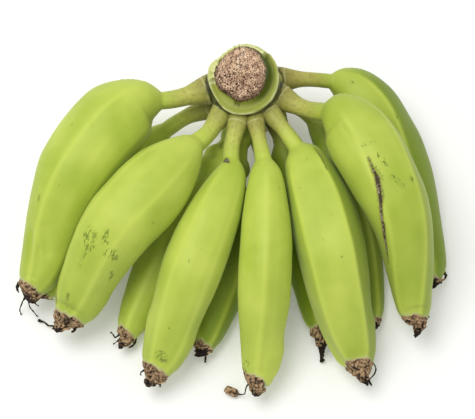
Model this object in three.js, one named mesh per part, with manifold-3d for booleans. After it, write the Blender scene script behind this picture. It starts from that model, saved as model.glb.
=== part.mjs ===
// A hand of green plantains, cut from its bunch and laid on a table: a short length of the bunch's
// stalk stands on its lower cut, and twelve fingers leave it in two rows, six lying on the table and
// six on top of them in the furrows between. Each finger is one fruit with its own stem, and each
// ends in the dry, corky base of its flower.
//
// Millimetres and degrees, +Z up, the table at z = 0. The tips lie towards -Y. A bearing is an angle
// in plan from -Y, positive towards +X.
import * as THREE from "three";
import { mergeVertices } from "three/addons/utils/BufferGeometryUtils.js";
import Module from "manifold-3d";

const wasm = await Module();
wasm.setup();

// ---- Driving dimensions ----
const GAP = 0.3; // between pieces that touch
const FACE_R = 16; // the stalk's upper cut
const COLLAR_R = 22.3; // the scar ring below it, where the bract grew
const CROWN_TOP = 83; // height of the upper cut
const LEAN_FORWARD = 8; // the stalk leans over the fingers
const LEAN_LEFT = 6;
const ROOT_LEVEL = 60; // height on the stalk's axis about which it leans
const ROOT_REACH = 31; // from the stalk's axis to where a finger's own stem starts
const SOCKET_R = 10.4; // of the crown's flesh about a stem, deep in the crown
const STEM_FLARE = 1.08; // a stem at its two ends, against its thinnest
const SHOULDER_EASE = 0.08; // share of the way to the belly in which a fruit springs out past its stem
const END_SHARE = 0.45; // a finger's blunt end against its girth

const RIDGES = 5; // a plantain is five-sided
const SIDES = 3 * RIDGES; // sides of a finger's mesh
const STEM_RINGS = [0, 0.4, 0.75]; // rings of that mesh along the stem, as shares of the stem
const FRUIT_RINGS = [
  0, 0.025, 0.055, 0.09, 0.14, 0.2, 0.275, 0.36, 0.45, 0.54, 0.63, 0.715, 0.79, 0.855, 0.91, 0.955, 1,
]; // and along the fruit

// Each finger: the bearing of its root on the stalk, then its bearings where it leaves, along its
// stem, past its bend, along its belly and at its end; its reach in plan; the height of its
// centreline at the root, the shoulder, the belly and the tip; the radius of its stem, the share of
// the finger that is stem, and the share of the fruit's swelling that comes at once in its shoulder;
// its girth; where along it the belly is; how full it is on the way there and after it (1 is a cone,
// 2 round, 3 blunt); the roll of its ridges; and the length of its dry tip and how pointed that is,
// from 0 for a knob to 1 for a beak.
const UPPER_ROW = [
  {
    root: -81, bearings: [-70, -85, -47.1, -29, -21], reach: 168.5,
    heights: [56, 60, 57, 28], stem: [6, 0.14, 0], girth: 48,
    belly: 0.42, full: [2.9, 1.8], roll: 10, tip: [13, 0.3],
  },
  {
    root: -35, bearings: [-28, -42, -41, -41, -30], reach: 150,
    heights: [59, 67, 65, 27], stem: [5.4, 0.155, 0], girth: 47,
    belly: 0.5, full: [2.3, 1.9], roll: 40, tip: [14, 0.5],
  },
  {
    root: -10, bearings: [-13, 0, -22, -22, -22], reach: 154,
    heights: [60, 60, 55, 20], stem: [5, 0.155, 0.15], girth: 38,
    belly: 0.63, full: [2.3, 1.6], roll: 25, tip: [14, 0.2],
  },
  {
    root: 13.5, bearings: [10, 9, 0.5, -1.5, -7], reach: 152,
    heights: [60, 61, 53, 18], stem: [4.7, 0.16, 0.2], girth: 33,
    belly: 0.63, full: [2.3, 2], roll: 0, tip: [12.5, 0.1],
  },
  {
    root: 38, bearings: [35, 31, 18, 12, 16], reach: 158,
    heights: [59, 57, 53.2, 20], stem: [5, 0.145, 0.28], girth: 41,
    belly: 0.55, full: [2.5, 2.2], roll: 50, tip: [16, 0.9],
  },
  {
    root: 67, bearings: [58, 70, 35.5, 23, 11], reach: 162.5,
    heights: [58, 69, 66.5, 26], stem: [5.6, 0.15, 0.2], girth: 43.5,
    belly: 0.42, full: [2.6, 1.7], roll: 30, tip: [14, 0.8],
  },
];
const LOWER_ROW = [
  {
    root: -75, bearings: [-72, -67, -34, -34, -28], reach: 154.5,
    heights: [36, 20, 13.4, 9.5], stem: [5, 0.15, 0.1], girth: 27.5,
    belly: 0.5, full: [2, 1.8], roll: 20, tip: [10, 0.3],
  },
  {
    root: -12, bearings: [-20, -30, -41, -28, -20], reach: 138,
    heights: [38, 28, 16.2, 11], stem: [9, 0.02, 0.35], girth: 33,
    belly: 0.6, full: [1.7, 1.8], roll: 5, tip: [13, 0.6],
  },
  {
    root: 16, bearings: [12, -2, -31, -15.5, -15], reach: 135,
    heights: [38, 28, 16.7, 11], stem: [4.3, 0.2, 0.2], girth: 34,
    belly: 0.6, full: [1.7, 1.8], roll: 35, tip: [10, 0.3],
  },
  {
    root: 45.5, bearings: [16, 14, 12, 12, 7], reach: 127.5,
    heights: [38, 28, 16.2, 10.6], stem: [5.6, 0.07, 0.2], girth: 33,
    belly: 0.55, full: [2, 1.8], roll: 15, tip: [21, 1],
  },
  {
    root: 84, bearings: [60, 40, 18, 14, 6], reach: 151.5,
    heights: [37, 25, 14.2, 10], stem: [4.6, 0.1, 0.2], girth: 29,
    belly: 0.55, full: [2, 1.8], roll: 45, tip: [9, 0.4],
  },
  {
    root: 105.5, bearings: [92, 89, 44, 17, 10], reach: 172.5,
    heights: [50, 43, 20.4, 14], stem: [4.6, 0.15, 0.05], girth: 41,
    belly: 0.45, full: [3, 1.8], roll: 55, tip: [9, 0.3],
  },
];

const COLOURS = { peel: 0xb4ca50, stalk: 0x9aa556, cork: 0x86644c };

// ---- Helpers ----
const radians = THREE.MathUtils.degToRad;

/** A value at x of the smooth curve through [x, y] points, which never overshoots them. */
function through(points, x) {
  const last = points.length - 1;
  if (x <= points[0][0]) return points[0][1];
  if (x >= points[last][0]) return points[last][1];
  const grade = (k) => (points[k + 1][1] - points[k][1]) / (points[k + 1][0] - points[k][0]);
  const slope = (k) => {
    if (k === 0 || k === last) return 0;
    const [before, after] = [grade(k - 1), grade(k)];
    return before * after > 0 ? (2 * before * after) / (before + after) : 0;
  };
  const i = points.findIndex(([px]) => px > x) - 1;
  const [x0, y0] = points[i];
  const [x1, y1] = points[i + 1];
  const span = x1 - x0;
  const u = (x - x0) / span;
  return (
    y0 * (2 * u ** 3 - 3 * u ** 2 + 1) +
    slope(i) * span * (u ** 3 - 2 * u ** 2 + u) +
    y1 * (3 * u ** 2 - 2 * u ** 3) +
    slope(i + 1) * span * (u ** 3 - u ** 2)
  );
}

/** A repeatable stream of numbers from 0 to 1. */
function seeded(seed) {
  let state = seed;
  return () => {
    state = (state * 1664525 + 1013904223) % 4294967296;
    return state / 4294967296;
  };
}

/** A closed three.js geometry as a manifold-3d solid. */
function solid(geometry) {
  const bare = geometry.clone();
  for (const name of Object.keys(bare.attributes)) {
    if (name !== "position") bare.deleteAttribute(name);
  }
  const merged = mergeVertices(bare, 1e-4);
  return new wasm.Manifold(
    new wasm.Mesh({
      numProp: 3,
      vertProperties: merged.attributes.position.array,
      triVerts: new Uint32Array(merged.index.array),
    }),
  );
}

/** A manifold-3d solid as a named mesh. */
function mesh(name, body, colour, roughness) {
  const made = body.getMesh();
  const geometry = new THREE.BufferGeometry()
    .setAttribute("position", new THREE.BufferAttribute(made.vertProperties, made.numProp))
    .setIndex(new THREE.BufferAttribute(made.triVerts, 1));
  geometry.computeVertexNormals();
  const found = new THREE.Mesh(
    geometry,
    new THREE.MeshStandardMaterial({ color: colour, roughness, metalness: 0 }),
  );
  found.name = name;
  return found;
}

// What lies under the table's surface is pressed flat: a body loses all that is below z = 0.
const underTable = solid(new THREE.BoxGeometry(1000, 1000, 100).translate(0, 0, -50));
const layDown = (body) => body.subtract(underTable);

// ---- A finger's centreline ----
const BEARING_AT = [0.04, 0.15, 0.28, 0.6, 1]; // shares of its length where a finger's bearings are given
const STEPS = 100;

/** Points along a finger's centreline, at even steps in plan. */
function centreline({ root, bearings, reach, heights }) {
  const [rootZ, shoulderZ, bellyZ, tipZ] = heights;
  const bearingAt = BEARING_AT.map((share, k) => [share, bearings[k]]);
  const heightAt = [
    [0, rootZ],
    [0.22, shoulderZ],
    [0.58, bellyZ],
    [1, tipZ],
  ];
  const rootBearing = radians(root);
  const plan = new THREE.Vector2(ROOT_REACH * Math.sin(rootBearing), -ROOT_REACH * Math.cos(rootBearing));
  const points = [];
  for (let i = 0; i <= STEPS; i++) {
    const t = i / STEPS;
    points.push(new THREE.Vector3(plan.x, plan.y, through(heightAt, t)));
    const bearing = radians(through(bearingAt, (i + 0.5) / STEPS));
    plan.x += (reach / STEPS) * Math.sin(bearing);
    plan.y -= (reach / STEPS) * Math.cos(bearing);
  }
  return points;
}

/** Where share t of the centreline is, with the directions along it, to its side and upwards. */
function frameAt(points, t) {
  const at = t * STEPS;
  const i = Math.min(Math.floor(at), STEPS - 1);
  const along = new THREE.Vector3().subVectors(
    points[Math.min(i + 2, STEPS)],
    points[Math.max(i - 1, 0)],
  ).normalize();
  const side = new THREE.Vector3().crossVectors(along, new THREE.Vector3(0, 0, 1)).normalize();
  const up = new THREE.Vector3().crossVectors(side, along);
  return { place: new THREE.Vector3().lerpVectors(points[i], points[i + 1], at - i), along, side, up };
}

// ---- A finger ----
/** Radius of a finger at share t of its length: stem, shoulder, belly, blunt end. */
function radiusAt({ stem: [thinnest, shoulder, sprung], girth, belly, full }, t) {
  const widest = girth / 2;
  const flared = STEM_FLARE * thinnest;
  if (t < shoulder) return through([[0, flared], [0.5 * shoulder, thinnest], [shoulder, flared]], t);
  if (t < belly) {
    const way = (t - shoulder) / (belly - shoulder);
    const spring = sprung * (1 - Math.exp(-((way / SHOULDER_EASE) ** 2)));
    return widest - (widest - flared) * (1 - way) ** full[0] * (1 - spring);
  }
  return widest * (1 - (1 - END_SHARE) * ((t - belly) / (1 - belly)) ** full[1]);
}

/** Where the rings of a finger's mesh are, as shares of its length. */
function ringsOf({ stem: [, shoulder] }) {
  return [
    ...STEM_RINGS.map((share) => shoulder * share),
    ...FRUIT_RINGS.map((share) => shoulder + (1 - shoulder) * share),
  ];
}

/** A rounded five-sided outline against its mean circle, at angle a from a ridge. */
function fiveSided(a, squareness) {
  const half = Math.PI / RIDGES;
  const turned = THREE.MathUtils.euclideanModulo(a, 2 * half) - half;
  const outline = THREE.MathUtils.lerp(1, Math.cos(half) / Math.cos(turned), squareness);
  return outline / (1 - 0.136 * squareness);
}

function finger(name, spec) {
  const points = centreline(spec);
  const profile = [new THREE.Vector2(0, 0)];
  for (const t of ringsOf(spec)) profile.push(new THREE.Vector2(radiusAt(spec, t), t));
  profile.push(new THREE.Vector2(0, 1));
  const blank = new THREE.LatheGeometry(profile, SIDES);
  const position = blank.attributes.position;
  const spot = new THREE.Vector3();
  for (let i = 0; i < position.count; i++) {
    spot.fromBufferAttribute(position, i);
    const t = spot.y;
    const around = Math.atan2(spot.x, spot.z);
    const r = Math.hypot(spot.x, spot.z) * fiveSided(around, 0.3 + 0.25 * t);
    const { place, side, up } = frameAt(points, t);
    const turn = around + radians(spec.roll);
    place.addScaledVector(side, r * Math.sin(turn)).addScaledVector(up, r * Math.cos(turn));
    position.setXYZ(i, place.x, place.y, place.z);
  }
  return mesh(name, layDown(solid(blank)), COLOURS.peel, 0.45);
}

// ---- The dry flower base on a finger's end ----
const CAP_SIDES = 10;
const CAP_ROUGHNESS = 0.24; // how far its corners stray, as a share of its radius
const KNOB = [[0, 0], [0.98, 0], [1.02, 0.15], [0.96, 0.38], [0.8, 0.62], [0.5, 0.85], [0, 1]];
const BEAK = [[0, 0], [0.98, 0], [0.99, 0.15], [0.74, 0.32], [0.4, 0.55], [0.2, 0.85], [0, 1]];

function blossomEnd(name, spec, seed) {
  const draw = seeded(seed);
  const { place, along, side, up } = frameAt(centreline(spec), 1);
  const r = radiusAt(spec, 1);
  const [long, pointed] = spec.tip;
  const outline = KNOB.map(([across, share], k) => {
    const mixed = THREE.MathUtils.lerp(across, BEAK[k][0], pointed);
    return new THREE.Vector2(mixed * r, THREE.MathUtils.lerp(share, BEAK[k][1], pointed) * long);
  });
  const blank = new THREE.LatheGeometry(outline, CAP_SIDES);
  const merged = mergeVertices(
    new THREE.BufferGeometry().setAttribute("position", blank.attributes.position).setIndex(blank.index),
    1e-4,
  );
  const position = merged.attributes.position;
  const spot = new THREE.Vector3();
  for (let i = 0; i < position.count; i++) {
    spot.fromBufferAttribute(position, i);
    const stray = 1 + CAP_ROUGHNESS * (draw() - 0.5);
    const rough = spot.y > 0 ? stray : 0.95;
    const corner = place
      .clone()
      .addScaledVector(along, GAP + spot.y)
      .addScaledVector(side, rough * spot.x)
      .addScaledVector(up, rough * spot.z);
    position.setXYZ(i, corner.x, corner.y, corner.z);
  }
  return mesh(name, layDown(solid(merged)), COLOURS.cork, 0.9);
}

// ---- The crown: the stalk, its scar ring and the sockets of the fingers' stems ----
function crown(name, specs) {
  const outline = [
    [0, -8],
    [16, -8],
    [17, 6],
    [19, 24],
    [21, 36],
    [21, 62],
    [COLLAR_R - 0.8, CROWN_TOP - 14],
    [COLLAR_R, CROWN_TOP - 11],
    [COLLAR_R - 0.6, CROWN_TOP - 9.2],
    [COLLAR_R - 2.6, CROWN_TOP - 9],
    [FACE_R + 2, CROWN_TOP - 8.2],
    [FACE_R + 0.6, CROWN_TOP - 5],
    [FACE_R, CROWN_TOP],
    [FACE_R - 1.6, CROWN_TOP],
    [FACE_R - 2.2, CROWN_TOP - 1.4],
    [0, CROWN_TOP - 1],
  ].map(([across, height]) => new THREE.Vector2(across, height));
  const stalk = new THREE.LatheGeometry(outline, 32)
    .rotateX(Math.PI / 2)
    .translate(0, 0, -ROOT_LEVEL)
    .rotateX(radians(LEAN_FORWARD))
    .rotateY(radians(-LEAN_LEFT))
    .translate(0, 0, ROOT_LEVEL);
  let body = solid(stalk);
  for (const spec of specs) {
    const points = centreline(spec);
    const { place, along } = frameAt(points, 0);
    const long = 24;
    const socket = new THREE.CylinderGeometry(radiusAt(spec, 0), SOCKET_R, long, 12)
      .translate(0, -long / 2 - GAP, 0)
      .applyQuaternion(new THREE.Quaternion().setFromUnitVectors(new THREE.Vector3(0, 1, 0), along))
      .translate(place.x, place.y, place.z);
    body = body.add(solid(socket));
  }
  return mesh(name, layDown(body), COLOURS.stalk, 0.6);
}

// ---- The hand ----
const hand = new THREE.Group();
hand.add(crown("crown", [...UPPER_ROW, ...LOWER_ROW]));
const rows = { upper: UPPER_ROW, lower: LOWER_ROW };
Object.entries(rows).forEach(([row, specs], rank) => {
  specs.forEach((spec, i) => {
    hand.add(finger(`finger_${row}_${i + 1}`, spec));
    hand.add(blossomEnd(`blossom_end_${row}_${i + 1}`, spec, 17 * (i + 1) + 5 * (rank + 1)));
  });
});

// The origin is the middle of the hand's outline in plan, on the table.
const outline = new THREE.Box3().setFromObject(hand);
const middle = outline.getCenter(new THREE.Vector3());
hand.position.set(-middle.x, -middle.y, 0);

export default hand;
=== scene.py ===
# A hand of green cooking plantains, cut from its bunch and laid on a table: twelve fingers in two rows
# grow from a short length of the bunch's stalk, and each ends in the dry, corky base of its flower.
# Every piece is shaped in millimetres, with the table at z = 0 and the tips towards -Y, and is
# brought to metres when it is finished.
import math

import bmesh
import bpy
from mathutils import Matrix, Vector, noise


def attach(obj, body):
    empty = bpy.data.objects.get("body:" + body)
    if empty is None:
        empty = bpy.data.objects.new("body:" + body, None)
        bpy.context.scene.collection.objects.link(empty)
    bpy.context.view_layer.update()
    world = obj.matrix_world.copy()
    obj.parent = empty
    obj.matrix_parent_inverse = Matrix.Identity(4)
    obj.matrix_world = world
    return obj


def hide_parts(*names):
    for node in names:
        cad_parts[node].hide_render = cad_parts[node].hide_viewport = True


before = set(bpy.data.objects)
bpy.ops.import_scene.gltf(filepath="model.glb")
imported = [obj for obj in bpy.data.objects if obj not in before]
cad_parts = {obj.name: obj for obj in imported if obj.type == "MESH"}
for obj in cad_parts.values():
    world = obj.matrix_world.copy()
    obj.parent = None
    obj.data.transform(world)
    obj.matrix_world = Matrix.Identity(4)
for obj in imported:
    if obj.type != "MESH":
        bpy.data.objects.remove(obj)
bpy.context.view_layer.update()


# ---- The fingers ---------------------------------------------------------------------------------
# Each finger is one unripe fruit: a fibrous stem that swells at a shoulder into a curved, five-sided
# body under a thick, waxy, bright green peel. It has grown onto the stalk, and the upper row lies in
# the furrows of the lower one. Its root goes on into the stalk's cushion, which hides where it starts.

STALK_PLACE = Vector((9.46, 84.60, 0.0))  # the stalk's axis, at the height of the upper stems' roots
LEAN_FORWARD = 8  # degrees that the stalk leans
LEAN_LEFT = 6
ROOT_LEVEL = 60  # the height about which it leans
COLLAR_EDGE = 24.2  # radius round the stalk within which a stem has painted shade, under the collar
ROOT_REACH = 31  # from the stalk's axis to where a finger's own stem starts
ROOT_SUNK = 11  # how far the stem goes on into the stalk
BEARING_AT = (0.04, 0.15, 0.28, 0.6, 1)  # shares of a finger's length where its bearings are given
HEIGHT_AT = (0, 0.22, 0.58, 1)
STEPS = 100
STEM_FLARE = 1.08  # a stem at its two ends, against its thinnest
SHOULDER_EASE = 0.08  # share of the way to the belly in which a fruit springs out past its stem
END_SHARE = 0.45  # a finger's blunt end against its girth
PEEL_ON = 4.5  # mm that the peel goes on past that end, rounding off under the dry tip
ROUND_OFF = (6, 13)  # mm: how long before the end it starts to round off, and over what length
FLARE_OVER = (-ROOT_SUNK, 9)  # mm along a stem over which the flare of its root dies out
RIDGES = 5
STEM_ROUNDED, STEM_FLAT = 14, 0.3  # how rounded a stem's ridges are, and how flat its sides
ROUNDED_OVER = (0.12, 0.3)  # shares of the length over which they become the fruit's
FLAT_OVER = (0.1, 0.35)
FULLER_OVER = (0.8, 1)  # and over which the fruit is fuller before its tip
DRIFT_OVER = (0.7, 1)  # and drifts aside
FLAT_SHARE = 0.136  # share by which flat sides alone bring in the mean radius
UNEVEN = ((0.7, 30), (0.12, 9))  # mm by which the peel is uneven, and over what length
BAND_ON = 2.6  # mm past the finger's end where the dry tip's band starts
BAND_WAVE = ((1.6, 2), (0.5, 7))  # mm by which its edge wanders, and how often

# For each finger, in mm and degrees: the bearing of its root on the stalk, from -Y and positive
# towards +X; its bearings where it leaves, along its stem, past its bend, along its belly and at its
# end; its reach; its centreline's heights at root, shoulder, belly and tip; its stem's radius, the
# share of the finger that is stem and the share of its swelling that comes at once; how far its root
# flares into the stalk; its girth; where its belly is; how full it is before and after that; the
# roll, the twist and the rounding of its ridges; how flat its sides are; how deep its green is,
# partly its own and partly painted shade where others shade it; how much painted shade it has past
# the first ridge on its right, the side away from the lamp; how far along it turns green; how brown
# its stem is; how far behind the start of its stem the pale joint with the stalk's cushion is; how
# far its end drifts towards -X; the angle towards which the band of its dry tip slants back, and by
# how much; how much fuller it is just before that tip; the tip's length and how pointed it is. USUAL
# holds for what a finger doesn't say.
USUAL = dict(twist=0, rounded=10, flat=0.45, deeper=0, green_at=0.05, joint=5, drift=0, fuller=0.1)
FINGERS = {
    "upper_1": dict(
        root=-81, bearings=(-70, -85, -47.1, -29, -21), reach=168.5, heights=(56, 60, 57, 28),
        stem=(6, 0.14, 0), flare=3.6, girth=48, belly=0.42, full=(2.9, 1.8), roll=10, twist=20,
        rounded=13, flat=0.42, deep=0.05, olive=0.6, drift=-2, slant=(95, 2.5), fuller=0.04,
        tip=(11.5, 0.3),
    ),
    "upper_2": dict(
        root=-35, bearings=(-28, -42, -41, -41, -30), reach=150, heights=(59, 67, 65, 27),
        stem=(5.4, 0.155, 0), flare=1.5, girth=47, belly=0.5, full=(2.3, 1.9), roll=40, twist=10,
        rounded=14, flat=0.4, deep=0.05, olive=0.1, slant=(120, -1), tip=(14, 0.5),
    ),
    "upper_3": dict(
        root=-10, bearings=(-13, 0, -22, -22, -22), reach=154, heights=(60, 60, 55, 20),
        stem=(5, 0.155, 0.15), flare=1.5, girth=38, belly=0.63, full=(2.3, 1.6), roll=25, rounded=13,
        flat=0.42, deep=0.05, olive=0.3, joint=2, slant=(60, 1.5), tip=(14, 0.2),
    ),
    "upper_4": dict(
        root=13.5, bearings=(10, 9, 0.5, -1.5, -7), reach=152, heights=(60, 61, 53, 18),
        stem=(4.7, 0.16, 0.2), flare=1.5, girth=33, belly=0.63, full=(2.3, 2), roll=0, twist=10,
        rounded=11, deep=0, olive=0.5, joint=2, slant=(75, 4), tip=(12.5, 0.1),
    ),
    "upper_5": dict(
        root=38, bearings=(35, 31, 18, 12, 16), reach=158, heights=(59, 57, 53.2, 20),
        stem=(5, 0.145, 0.28), flare=2, girth=41, belly=0.55, full=(2.5, 2.2), roll=46, twist=-12,
        rounded=3, flat=0.85, deep=0.05, deeper=0.5, olive=0.3, drift=-1, slant=(40, 4),
        tip=(16, 0.9),
    ),
    "upper_6": dict(
        root=67, bearings=(58, 70, 35.5, 23, 11), reach=162.5, heights=(58, 69, 66.5, 26),
        stem=(5.6, 0.15, 0.2), flare=3, girth=43.5, belly=0.42, full=(2.6, 1.7), roll=32, twist=60,
        rounded=8, flat=0.5, deep=0.15, deeper=0.3, olive=0.8, drift=2.5, slant=(80, 3), fuller=0.04,
        tip=(14, 0.8),
    ),
    "lower_1": dict(
        root=-75, bearings=(-72, -67, -34, -34, -28), reach=154.5, heights=(36, 20, 13.4, 9.5),
        stem=(5, 0.15, 0.1), flare=2, girth=27.5, belly=0.5, full=(2, 1.8), roll=20, deep=0,
        olive=0.2, slant=(90, 1), tip=(7, 0.3),
    ),
    "lower_2": dict(
        root=-12, bearings=(-20, -30, -41, -28, -20), reach=138, heights=(38, 28, 16.2, 11),
        stem=(9, 0.02, 0.35), flare=1, girth=33, belly=0.6, full=(1.7, 1.8), roll=5, deep=0.05,
        green_at=-0.1, olive=0, drift=1.2, slant=(60, 2.5), tip=(13, 0.6),
    ),
    "lower_3": dict(
        root=16, bearings=(12, -2, -31, -15.5, -15), reach=135, heights=(38, 28, 16.7, 11),
        stem=(4.3, 0.2, 0.2), flare=1.5, girth=34, belly=0.6, full=(1.7, 1.8), roll=35, deep=0.75,
        olive=0.2, slant=(60, 2), tip=(10, 0.3),
    ),
    "lower_4": dict(
        root=45.5, bearings=(16, 14, 12, 12, 7), reach=127.5, heights=(38, 28, 16.2, 10.6),
        stem=(5.6, 0.07, 0.2), flare=1.5, girth=33, belly=0.55, full=(2, 1.8), roll=15, deep=0.95,
        olive=0.2, slant=(0, 2), tip=(21, 1),
    ),
    "lower_5": dict(
        root=84, bearings=(60, 40, 18, 14, 6), reach=151.5, heights=(37, 25, 14.2, 10),
        stem=(4.6, 0.1, 0.2), flare=2, girth=29, belly=0.55, full=(2, 1.8), roll=45, deep=0.75,
        olive=0.3, slant=(0, 0), tip=(9, 0.4),
    ),
    "lower_6": dict(
        root=105.5, bearings=(92, 89, 44, 17, 10), reach=172.5, heights=(50, 43, 20.4, 14),
        stem=(4.6, 0.15, 0.05), flare=3.4, girth=41, belly=0.45, full=(3, 1.8), roll=55, flat=0.48,
        deep=0.25, deeper=0.65, olive=1, drift=-0.8, slant=(90, 1), tip=(8, 0.3),
    ),
}
FINGERS = {key: USUAL | own for key, own in FINGERS.items()}

# Marks that a knock, a knife or the rubbing of a neighbour left on a peel. Each is a line of points:
# how far along the finger, at what angle round it (degrees from its top, positive towards -X) and
# how wide there. Cuts are healed brown; scuffs are patches of fine dark scratches; folds are
# furrows in the flesh itself, with how deep they are in mm, or swellings of it, with a minus.
CUTS = {
    "upper_2": [
        [(0.93, 60, 0.8), (0.965, 56, 1.8), (0.99, 50, 0.8)],
        [(0.905, 12, 1.1), (0.925, 11, 0.5)],
    ],
    "upper_3": [
        [(0.157, 48, 0.8), (0.166, 36, 4), (0.178, 20, 2.4), (0.188, 6, 0.7)],
        [(0.972, -12, 0.7), (0.973, -22, 0.7)],
    ],
    "upper_4": [[(0.972, 74, 1), (0.98, 72, 1)], [(0.985, 62, 0.9), (0.99, 60, 1.2)]],
    "upper_5": [[(0.2, -34, 0.4), (0.235, -32, 1.2), (0.27, -29, 1), (0.31, -25, 0.4)]],
    "upper_6": [
        [
            (0.45, 23, 0.5), (0.5, 26, 1.6), (0.54, 27, 3), (0.58, 33, 2.8), (0.62, 45, 2),
            (0.655, 54, 1.5),
        ],
        [(0.66, 53, 2.6), (0.7, 61, 2.4), (0.75, 66, 1.6), (0.79, 69, 0.6)],
    ],
}
SCUFFS = {
    "upper_1": [
        [(0.7, 27, 3), (0.715, 27, 2)],
        [(0.445, 54, 1.5), (0.447, 53, 1.5)],
        [(0.47, 33, 1.5), (0.472, 33, 1.5)],
    ],
    "upper_2": [
        [(0.677, 19, 6), (0.69, 7, 9), (0.7, 2, 6)],
        [(0.655, -9, 5), (0.67, -17, 4)],
        [(0.71, 5, 3), (0.745, 6, 2), (0.775, 6, 2)],
        [(0.693, -29, 5), (0.688, -38, 5), (0.702, -47, 3)],
        [(0.75, -54, 3), (0.78, -62, 3)],
        [(0.925, 11, 3), (0.99, 9, 2)],
        [(0.905, 10, 1.5), (0.897, -4, 2)],
        [(0.55, -58, 2.5), (0.555, -58, 2.5)],
    ],
    "upper_3": [
        [(0.605, 1, 1.5), (0.607, 0, 1.5)],
        [(0.57, -12, 1.5), (0.573, -12, 1.5)],
        [(0.95, -5, 9), (0.96, -10, 9)],
    ],
    "upper_4": [[(0.95, 50, 6), (0.97, 60, 5)]],
    "upper_5": [[(0.57, 18, 1.5), (0.573, 18, 1.5)]],
    "upper_6": [
        [(0.46, 6, 3.5), (0.505, 3, 3.5)],
        [(0.4, 21, 2), (0.41, 3, 2)],
        [(0.555, 3, 3), (0.59, -6, 3)],
        [(0.578, -27, 3), (0.585, -27, 3)],
        [(0.5, 20, 3), (0.54, 20, 4), (0.6, 35, 3)],
    ],
    "lower_2": [[(0.04, 40, 3), (0.06, 30, 3)], [(0.1, 35, 3), (0.105, 33, 3)]],
    "lower_6": [
        [(0.215, 12, 2.5), (0.22, 12, 2.5)],
        [(0.26, -30, 2.5), (0.265, -30, 2.5)],
        [(0.38, -18, 2.5), (0.395, -18, 2.5)],
        [(0.5, -63, 4), (0.51, -66, 4)],
    ],
}
FOLDS = {
    "upper_1": [
        ([(0.415, 12, 3), (0.435, 0, 2)], 0.4),
        ([(0.17, 75, 22), (0.21, 75, 22)], 2.2),
        ([(0.34, 80, 30), (0.45, 85, 34), (0.58, 85, 30)], -2.6),
        ([(0.78, 3, 5), (0.86, -18, 6)], 1.1),
        ([(0.82, 30, 5), (0.9, 22, 6), (0.98, 18, 5)], 1.8),
        ([(0.86, 4, 4), (0.93, 0, 5), (0.98, -2, 4)], 1.4),
    ],
    "upper_2": [([(0.9, 75, 16), (1, 75, 16)], -0.8), ([(0.9, -80, 16), (1.02, -80, 16)], -2)],
    "upper_3": [([(0.85, 80, 16), (1, 80, 16)], -2), ([(0.88, -75, 16), (1.02, -75, 16)], -2.5)],
    "upper_4": [([(0.9, -75, 16), (1.02, -75, 16)], -2.8)],
    "upper_5": [([(0.88, -80, 18), (1.01, -80, 18)], -2.4), ([(0.93, 80, 14), (1.02, 80, 14)], 1.8)],
    "upper_6": [
        ([(0.29, 31, 4), (0.37, 27, 7), (0.45, 24, 6), (0.52, 27, 3)], 0.8),
        ([(0.93, -80, 14), (1.01, -80, 14)], 1),
    ],
    "lower_2": [
        ([(0.085, 65, 12), (0.13, 55, 12)], -4),
        ([(0.03, 75, 5), (0.05, 35, 6)], 1.6),
        ([(0.085, 15, 4), (0.1, 60, 5)], 1.6),
    ],
    "lower_6": [([(0.5, -85, 26), (0.62, -85, 30), (0.95, -85, 26)], -2.2)],
}

lean = (
    Matrix.Translation((0, 0, ROOT_LEVEL))
    @ Matrix.Rotation(math.radians(-LEAN_LEFT), 4, "Y")
    @ Matrix.Rotation(math.radians(LEAN_FORWARD), 4, "X")
    @ Matrix.Translation((0, 0, -ROOT_LEVEL))
)
upright = lean.inverted()


def through(points, x):
    """A value at x of the smooth curve through (x, y) points, which never overshoots them."""
    if x <= points[0][0]:
        return points[0][1]
    if x >= points[-1][0]:
        return points[-1][1]
    i = max(k for k, point in enumerate(points) if point[0] <= x)

    def grade(k):
        return (points[k + 1][1] - points[k][1]) / (points[k + 1][0] - points[k][0])

    def slope(k):
        if k in (0, len(points) - 1):
            return 0
        before, after = grade(k - 1), grade(k)
        return 2 * before * after / (before + after) if before * after > 0 else 0

    (x0, y0), (x1, y1) = points[i], points[i + 1]
    span = x1 - x0
    u = (x - x0) / span
    return (
        y0 * (2 * u**3 - 3 * u**2 + 1)
        + slope(i) * span * (u**3 - 2 * u**2 + u)
        + y1 * (3 * u**2 - 2 * u**3)
        + slope(i + 1) * span * (u**3 - u**2)
    )


def mix(a, b, share):
    return a + (b - a) * share


def ease(low, high, x):
    """0 below low and 1 above high, with a smooth step between."""
    u = min(max((x - low) / (high - low), 0), 1)
    return u * u * (3 - 2 * u)


def near(distance, width):
    """1 on a line, falling off in a bell to 0.37 at width from it."""
    return math.exp(-((distance / width) ** 2))


def waver(turn, often, along=0.0):
    """Noise from -1 to 1 at a direction or a place, so often a unit, and along as far as given."""
    return noise.noise(turn * often + Vector((0, 0, along)))


def centreline(spec):
    """Points along a finger's centreline, at even steps in plan."""
    bearings = list(zip(BEARING_AT, spec["bearings"]))
    heights = list(zip(HEIGHT_AT, spec["heights"]))
    root = math.radians(spec["root"])
    plan = Vector((ROOT_REACH * math.sin(root), -ROOT_REACH * math.cos(root), 0))
    points = []
    for i in range(STEPS + 1):
        points.append(plan + Vector((0, 0, through(heights, i / STEPS))))
        bearing = math.radians(through(bearings, (i + 0.5) / STEPS))
        plan = plan + Vector((math.sin(bearing), -math.cos(bearing), 0)) * spec["reach"] / STEPS
    return points


def frame_at(points, t):
    """Where share t of a centreline is, with the directions along it, to its side and upwards."""
    at = min(max(t, 0), 1) * STEPS
    i = min(int(at), STEPS - 1)
    along = (points[min(i + 2, STEPS)] - points[max(i - 1, 0)]).normalized()
    side = along.cross(Vector((0, 0, 1))).normalized()
    beyond = (t * STEPS - at) * (points[-1] - points[0]).length / STEPS
    return points[i].lerp(points[i + 1], at - i) + along * beyond, along, side, side.cross(along)


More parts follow.
